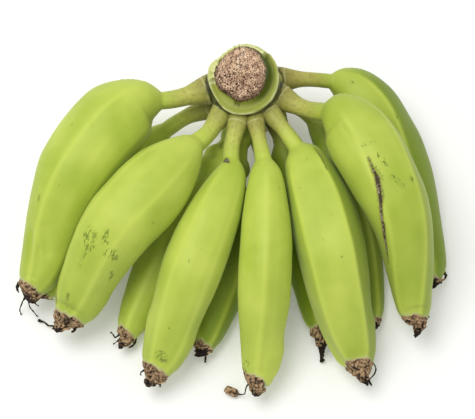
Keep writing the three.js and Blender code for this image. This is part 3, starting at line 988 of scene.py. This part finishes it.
# Dried pith: matte, pale tan fibre with paler ribs, mottled brown and browner at its edge, with
# painted shade in its pits.
PITH_PALE = "#f3dcc0"
PITH_TAN = "#e6c5a3"
PITH_SHADE = "#b9967a"
PITH_PIT_SHADE = "#49342a"
PITH_EDGE = "#6e543c"
MOTTLE = 4  # mm across

pith, tree, surface, place, held = start_material("dried fibrous pith", FACE_LAYERS, 0.9, 0.2)
mottle = add_node(
    tree, "TexNoise", {"Vector": place, "Scale": 1000 / MOTTLE, "Detail": 4}
).outputs["Fac"]
mottle = add_node(
    tree, "MapRange", {"Value": mottle, "From Min": 0.4, "From Max": 0.62}
).outputs["Result"]
mottle = add_node(tree, "Math", {0: mottle, 1: held["rib"]}, operation="SUBTRACT").outputs[0]
ribbed = add_node(tree, "Math", {0: held["rib"], 1: 0.7}, operation="MULTIPLY").outputs[0]
edged = add_node(tree, "Math", {0: held["edge"], 1: 0.85}, operation="MULTIPLY").outputs[0]
# Painted shade in the pits.
pit_shade = add_node(
    tree, "MapRange", {"Value": held["pit"], "From Min": 0.15, "From Max": 0.7}
).outputs["Result"]
colour = linear(PITH_TAN)
for much, coat in (
    (mottle, PITH_SHADE), (ribbed, PITH_PALE), (edged, PITH_EDGE), (pit_shade, PITH_PIT_SHADE)
):
    colour = add_node(
        tree, "Mix", {FACTOR: much, FIRST: colour, SECOND: linear(coat)}, data_type="RGBA"
    ).outputs[BLENDED]
tree.links.new(colour, surface["Base Color"])

face = piece_from(bm, "stalk_cut", pith)
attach(face, "root")
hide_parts("crown")


# ---- The dry blossom ends -------------------------------------------------------------------------
# What is left of each flower: a corky band round the finger's blunt end, from which the dead petals
# and style shrivel into a dark, folded knob or beak, with a few dry strands. It has grown onto the
# peel, and laps back over it with a thin, pale, ragged edge.

KNOB = [(0, 1.0), (0.2, 0.95), (0.4, 0.8), (0.6, 0.62), (0.78, 0.48), (0.92, 0.32), (1, 0.05)]
BEAK = [(0, 1.0), (0.12, 0.9), (0.25, 0.66), (0.4, 0.43), (0.58, 0.29), (0.8, 0.19), (1, 0.05)]
CAP_TURN = 96
CAP_ROWS = 64
# The band: how far its rows stand above the peel, the first ones under it, and how long it is.
BAND_ABOVE = (-1.5, -0.3, 0.1, 0.25, 0.3, 0.25, 0.15, 0.05)
BAND_ROWS = len(BAND_ABOVE)
BAND_LONG = 0.5
BAND_CLEAR = 0.3  # mm by which what follows stays outside the peel's rounded end
FOLDING = (2.2, 10, 0.4)  # folds in a knob: how often round it, mm along it, share of its radius
CRUMPLE = (2, 1.5)  # mm across and high
CRUMBS = (0.9, 0.4)
LEAN_FROM = 0.3  # share of a knob past which it leans

# How far each knob leans aside and up from its finger's line, and how much of it is black, 0 to 1.
KNOBS = {
    "upper_1": (-1, -2, 0.4), "upper_2": (2, -1, 0.2), "upper_3": (1, -1, 0.25),
    "upper_4": (0, 0, 0.15), "upper_5": (-2, 0, 0.35), "upper_6": (4, 0, 0.5),
    "lower_1": (3, 0, 0.3), "lower_2": (2, 0, 0.35), "lower_3": (3, 0, 0.8),
    "lower_4": (1.5, 0, 0.6), "lower_5": (0, 0, 0.8), "lower_6": (-1, 0, 0.9),
}
# The dry strands on each end: how black, then points as mm ahead of the finger's end, aside from its
# line (positive towards -X) and above it, with half the strand's width and thickness there.
STRANDS = {
    "upper_1": [
        (1, [
            (4.8, 7.5, -4.8, 0.9, 0.7), (7.5, 5, -9, 0.8, 0.6), (9.3, 6.9, -15.5, 0.5, 0.4),
            (12.1, 7.8, -19.4, 0.4, 0.35), (14, 8.4, -22.8, 0.4, 0.3), (15.9, 7.1, -26.2, 0.5, 0.4),
        ]),
        (1, [
            (5, 4, -5, 0.9, 0.6), (8.5, 2.4, -10, 0.5, 0.4), (10.9, 1.6, -15.5, 0.45, 0.35),
            (12.3, -0.9, -21.4, 0.35, 0.3), (13.5, -3.4, -26.3, 0.4, 0.35),
        ]),
        (0.9, [
            (5, 1, -8, 0.8, 0.6), (7.2, 0.2, -11.6, 0.6, 0.5), (7.8, -1.1, -17.6, 0.4, 0.3),
            (8, -2.9, -19.6, 0.5, 0.4),
        ]),
        (0.8, [(2, 9.5, 0, 1.4, 0.5), (5, 10.5, -3, 1.1, 0.4), (7, 9, -6, 0.5, 0.3)]),
    ],
    "upper_2": [
        (0.9, [
            (8, 2, -6, 1, 0.7), (12, 3.9, -12.1, 0.7, 0.5), (11.3, 7.5, -16.1, 0.6, 0.5),
            (11.1, 9.5, -18.2, 0.6, 0.4),
        ]),
        (0.7, [
            (7, 1.5, -9, 0.5, 0.4), (8.6, 6, -16, 0.4, 0.3), (8.7, 9.6, -20.4, 0.35, 0.3),
            (10.3, 14.3, -23.3, 0.6, 0.4), (9.6, 18.1, -24.3, 0.4, 0.35), (10.2, 20.8, -25, 0.9, 0.6),
            (10.2, 22.4, -25.3, 0.9, 0.6),
        ]),
        (0.6, [(4, -6, -2, 1.5, 0.6), (7, -7, -4, 1.2, 0.5), (8.5, -5.5, -6, 0.5, 0.3)]),
    ],
    "upper_3": [
        (0.8, [
            (2, 6, -1, 0.8, 0.5), (5.4, 8.2, -3.6, 0.5, 0.4), (6.3, 9.4, -6, 0.5, 0.4),
            (7.6, 9.2, -8, 0.5, 0.3),
        ]),
        (0.9, [
            (6, -1, -6, 0.8, 0.6), (8, -2.6, -9.5, 0.6, 0.5), (8.3, -4.2, -11.5, 0.6, 0.4),
            (9.3, -4.1, -13.4, 0.4, 0.3),
        ]),
        (0.4, [(7, 3, -3, 2, 0.6), (10.5, 3.5, -5, 1.8, 0.5), (12, 2, -7, 0.9, 0.3)]),
    ],
    "upper_4": [
        (0.9, [
            (3, 4, -2, 0.7, 0.5), (6.7, 6.2, -5.6, 0.5, 0.4), (9.5, 6.8, -11.4, 0.4, 0.35),
            (9.8, 9.6, -13.4, 0.6, 0.4), (8.9, 11.3, -14.5, 0.4, 0.3),
        ]),
        (0.1, [
            (9.4, 10.6, -14.6, 1.2, 0.4), (9.2, 12.2, -14.4, 2.6, 0.45), (8.6, 15, -13.9, 2.9, 0.5),
            (7.2, 18.2, -14.2, 2.5, 0.45), (6.7, 19.2, -14.8, 1.9, 0.3),
        ]),
    ],
    "upper_5": [
        (1, [
            (1, -7, -1, 0.6, 0.5), (2.3, -10, -3.9, 0.45, 0.4), (5.6, -11.3, -7.7, 0.45, 0.4),
            (8, -10, -10.5, 0.45, 0.4), (10.4, -6, -11.4, 0.5, 0.4),
        ]),
        (0.9, [(9, -4, -7, 1.1, 0.7), (12.3, -5.5, -11, 0.8, 0.5), (14.1, -6.5, -13.6, 0.5, 0.4)]),
    ],
    "upper_6": [(0.8, [(-1, -7, 0, 0.8, 0.5), (1.4, -8.2, -4, 0.6, 0.4), (1.5, -9, -7, 0.4, 0.3)])],
    "lower_2": [
        (1, [
            (3, 4.5, 0, 0.8, 0.6), (6.6, 6.9, -1, 0.5, 0.4), (4.7, 9.4, -2, 0.5, 0.4),
            (4, 11.2, -3, 0.4, 0.3),
        ]),
        (0.9, [
            (5, 3.5, -1, 0.7, 0.5), (8.1, 5.1, -2.9, 0.5, 0.4), (8.7, 6.5, -5.9, 0.4, 0.3),
            (9.8, 7.5, -6.9, 0.4, 0.3),
        ]),
        (0.8, [(2, -5, -3, 1.2, 0.6), (6, -5.5, -3.5, 1, 0.5), (9, -3, -4.5, 0.5, 0.4)]),
    ],
    "lower_3": [(0.9, [(5, -2, -1, 1, 0.7), (8, -2.4, -4.5, 0.7, 0.6), (10.2, -2.7, -7, 0.6, 0.5)])],
    "lower_4": [
        (0.3, [
            (4, 3, 2, 2, 1.4), (8.5, 1.8, 0.6, 3.2, 1.5), (11.4, 1, -0.8, 4, 1.2),
            (12.6, 1, -1.6, 3.2, 0.8),
        ]),
        (1, [
            (10.5, 2.4, -0.6, 1.1, 0.9), (14.6, 2.2, -3.5, 0.9, 0.8), (17.8, 1.9, -6.5, 0.8, 0.7),
            (20.2, 1.4, -8.2, 1.5, 0.9), (21, 1.1, -8.7, 1.1, 0.8),
        ]),
    ],
    "lower_5": [
        (1, [
            (-2, -3.5, 0.5, 0.7, 0.5), (-1.4, -5.6, -1.5, 0.5, 0.4), (0.7, -5, -4.4, 0.5, 0.4),
            (1.9, -2.7, -6, 0.4, 0.3),
        ]),
    ],
    "lower_6": [
        (1, [(-1, -3.5, 1, 0.9, 0.6), (1.6, -5.8, -3.6, 0.7, 0.5), (3.4, -9.3, -6.6, 0.5, 0.4)]),
        (0.9, [(-2, -9, 2, 1.2, 0.7), (0.2, -12.2, -1.5, 0.9, 0.6), (1.8, -11.4, -5, 0.5, 0.4)]),
    ],
}
STRAND_TURN = 10
STRAND_ROWS = 40
CAP_LAYERS = ("dry", "fold")  # how dry and black a point is, and its painted fold shade

# Dead, corky flower tissue: dull and crumbly, tan with brown crumbs and a paler torn edge, and
# near black where it is thin and driest; painted shade darkens it where it is folded in, and its
# strands have dark stripes.
CORK_EDGE = "#dfc8ab"
CORK_TAN = "#c0a079"
CORK_SHADE = "#6e573f"
DRY_BLACK = "#261d17"
CRUMB = 1.6  # mm across

cork, tree, surface, place, held = start_material(
    "dry corky blossom remains", CAP_LAYERS, 0.85, 0.2
)
crumb = add_node(
    tree, "TexNoise", {"Vector": place, "Scale": 1000 / CRUMB, "Detail": 5, "Roughness": 0.65}
).outputs["Fac"]
crumb = add_node(
    tree, "MapRange", {"Value": crumb, "From Min": 0.42, "From Max": 0.58}
).outputs["Result"]
edged = add_node(
    tree, "MapRange", {"Value": held["dry"], "From Min": 0, "From Max": -0.3, "To Max": 0.7}
).outputs["Result"]
dark = held["dry"]
# Crumbs darken it, and so does painted shade in its folds.
for darker, much in ((crumb, 0.62), (held["fold"], 0.6)):
    dark = add_node(
        tree, "Math", {0: darker, 1: much, 2: dark}, operation="MULTIPLY_ADD"
    ).outputs[0]
dark = add_node(
    tree, "MapRange", {"Value": dark, "From Min": 0.5, "From Max": 1.05}
).outputs["Result"]
colour = linear(CORK_TAN)
for much, coat in ((crumb, CORK_SHADE), (edged, CORK_EDGE), (dark, DRY_BLACK)):
    colour = add_node(
        tree, "Mix", {FACTOR: much, FIRST: colour, SECOND: linear(coat)}, data_type="RGBA"
    ).outputs[BLENDED]
tree.links.new(colour, surface["Base Color"])
bump = add_node(tree, "Bump", {"Height": crumb, "Strength": 0.8, "Distance": 0.0004})
tree.links.new(bump.outputs["Normal"], surface["Normal"])

for rank, (key, spec) in enumerate(FINGERS.items()):
    long, pointed = spec["tip"]
    lean_aside, lean_up, black = KNOBS[key]
    end, way, side, up = frame_at(centreline(spec), 1)
    end = end + side * spec["drift"]
    end_r = finger_radius(spec, 1 + BAND_ON / spec["reach"])
    bm = bmesh.new()
    layer = layers_on(bm, CAP_LAYERS)
    for vert, row, around in rolled(bm, CAP_TURN, CAP_ROWS):
        turn = Vector((math.sin(around), math.cos(around), 0))
        outward = side * turn.x + up * turn.y
        start = band_start(spec, around)
        start_t = 1 + start / spec["reach"]
        band_r = skin_radius(key, spec, start_t, around, end + way * start, outward)
        if row < BAND_ROWS:
            ahead = start + BAND_LONG * row / BAND_ROWS
            r = band_r + BAND_ABOVE[row]
            dryness = mix(-0.35, -0.1, row / BAND_ROWS)
        else:
            share = (row - BAND_ROWS) / (CAP_ROWS - BAND_ROWS)
            ahead = mix(start + BAND_LONG, long, share)
            r = mix(through(KNOB, share), through(BEAK, share), pointed)
            r *= mix(band_r, end_r, ease(0, 0.5, share))
            blackened = ease(0.6 - 0.6 * black, 1.15 - 0.6 * black, share)
            dryness = mix(0.1 * ease(0, 0.1, share), 1, blackened)
        share = max(ahead, 0) / long
        shape = rank * 5  # so that each end is folded in its own way
        often, fold_long, fold_deep = FOLDING
        folds = waver(turn, often, shape + ahead / fold_long)
        crumple = waver(turn, r / CRUMPLE[0], shape + ahead / CRUMPLE[0])
        crumbs = waver(turn, r / CRUMBS[0], shape + ahead / CRUMBS[0])
        ruffle = ease(0, 0.3, share) * (1 - 0.5 * pointed * share)
        narrow = min(r, 2) / 2
        r *= 1 + fold_deep * folds * ruffle
        r += CRUMPLE[1] * crumple * ease(0, 0.3, share) * narrow
        r += CRUMBS[1] * crumbs * min(r, 1) * ease(0, 0.1, share)
        if ahead < PEEL_ON + BAND_CLEAR and row > 1:
            peel_t = 1 + ahead / spec["reach"]
            peel_r = skin_radius(key, spec, peel_t, around, end + way * ahead, outward)
            r = max(r, BAND_CLEAR + peel_r)
        if row in (0, CAP_ROWS):
            r = 0
        leaning = 2 * max(share - LEAN_FROM, 0) ** 2
        spot = end + way * ahead
        spot += side * (turn.x * r + lean_aside * leaning) + up * (turn.y * r + lean_up * leaning)
        spot.z = max(spot.z, 0.1)
        vert.co = spot
        vert[layer["dry"]] = dryness
        # Painted shade where the knob folds in.
        vert[layer["fold"]] = min(max(-folds * 2 * ruffle - 1.3 * crumple, 0), 1)
    for blackness, stations in STRANDS.get(key, []):
        curves = [list(enumerate(values)) for values in zip(*stations)]
        for vert, row, around in rolled(bm, STRAND_TURN, STRAND_ROWS):
            at = (len(stations) - 1) * min(max((row - 1) / (STRAND_ROWS - 2), 0), 1)
            ahead, aside, above, wide, thick = [through(curve, at) for curve in curves]
            before, after = [
                Vector([through(curve, beside) for curve in curves[:3]])
                for beside in (at - 0.2, at + 0.2)
            ]
            run = (after - before).normalized()
            across = run.cross(Vector((0, 0, 1)))
            across = across.normalized() if across.length > 0.1 else Vector((0, 1, 0))
            over = across.cross(run)
            spot = Vector((ahead, aside, above))
            if row not in (0, STRAND_ROWS):
                lumps = mix(0.7, 0.06, ease(1, 2.2, wide))
                lumpy = 1 + lumps * waver(spot + Vector((rank * 4.5, 0, 0)), 1 / 1.5)
                spot += across * math.sin(around) * wide * lumpy
                spot += over * math.cos(around) * thick * lumpy
            spot = end + way * spot.x + side * spot.y + up * spot.z
            spot.z = max(spot.z, 0.15 + 0.1 * math.cos(around))
            vert.co = spot
            vert[layer["dry"]] = blackness
            # On a strand, the same layer holds its dark stripes.
            vert[layer["fold"]] = 0.7 * (math.sin(9 * math.sin(around) * min(wide, 3) + 1) > 0)
    cap = piece_from(bm, f"dry_end_{key}", cork)
    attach(cap, "root")
    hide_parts(f"blossom_end_{key}")


# ---- The table, the light and the camera ---------------------------------------------------------
# A white acrylic table top that is lit a little from below, under one wide, soft lamp at the upper
# left and white walls, so that shadows stay pale.

TABLE_HALF = 3
WALL_LIGHT = 0.65
MIDDLE = Vector((-5, -75, 30))  # the middle of the hand, from the stalk's place, in mm
LAMP_FROM = Vector((-320, 60, 1050))  # from that middle
LAMP_ACROSS = 0.7
LAMP_WATTS = 6.4
CAMERA_FROM = Vector((-4.8, -393.2, 818.1))  # from the stalk's place, in mm
CAMERA_TILT = 22  # degrees from straight down
LENS, SENSOR = 100.66, 36

table_mesh = bpy.data.meshes.new("table_top")
bm = bmesh.new()
bmesh.ops.create_grid(bm, x_segments=1, y_segments=1, size=TABLE_HALF)
bm.to_mesh(table_mesh)
bm.free()
table = bpy.data.objects.new("table_top", table_mesh)
bpy.context.scene.collection.objects.link(table)
acrylic = bpy.data.materials.new("backlit white acrylic")
acrylic.use_nodes = True
surface = acrylic.node_tree.nodes["Principled BSDF"].inputs
surface["Roughness"].default_value = 0.8
surface["Base Color"].default_value = linear("#f2f2ef")
surface["Emission Color"].default_value = linear("#fbfcff")
surface["Emission Strength"].default_value = 0.15
table_mesh.materials.append(acrylic)

world = bpy.data.worlds.new("white room")
bpy.context.scene.world = world
world.use_nodes = True
walls = world.node_tree.nodes["Background"].inputs
walls["Color"].default_value = (1, 1, 1, 1)
walls["Strength"].default_value = WALL_LIGHT

middle = (STALK_PLACE + MIDDLE) / 1000
lamp_data = bpy.data.lights.new("soft_lamp", "AREA")
lamp_data.shape = "DISK"
lamp_data.size = LAMP_ACROSS
lamp_data.energy = LAMP_WATTS
lamp = bpy.data.objects.new("soft_lamp", lamp_data)
lamp.location = middle + LAMP_FROM / 1000
lamp.rotation_euler = (middle - lamp.location).to_track_quat("-Z", "Y").to_euler()
bpy.context.scene.collection.objects.link(lamp)

camera_data = bpy.data.cameras.new("camera")
camera_data.lens = LENS
camera_data.sensor_width = SENSOR
camera = bpy.data.objects.new("camera", camera_data)
camera.location = (STALK_PLACE + CAMERA_FROM) / 1000
camera.rotation_euler = (math.radians(CAMERA_TILT), 0, 0)
bpy.context.scene.collection.objects.link(camera)
bpy.context.scene.camera = camera
bpy.context.scene.view_settings.view_transform = "Standard"
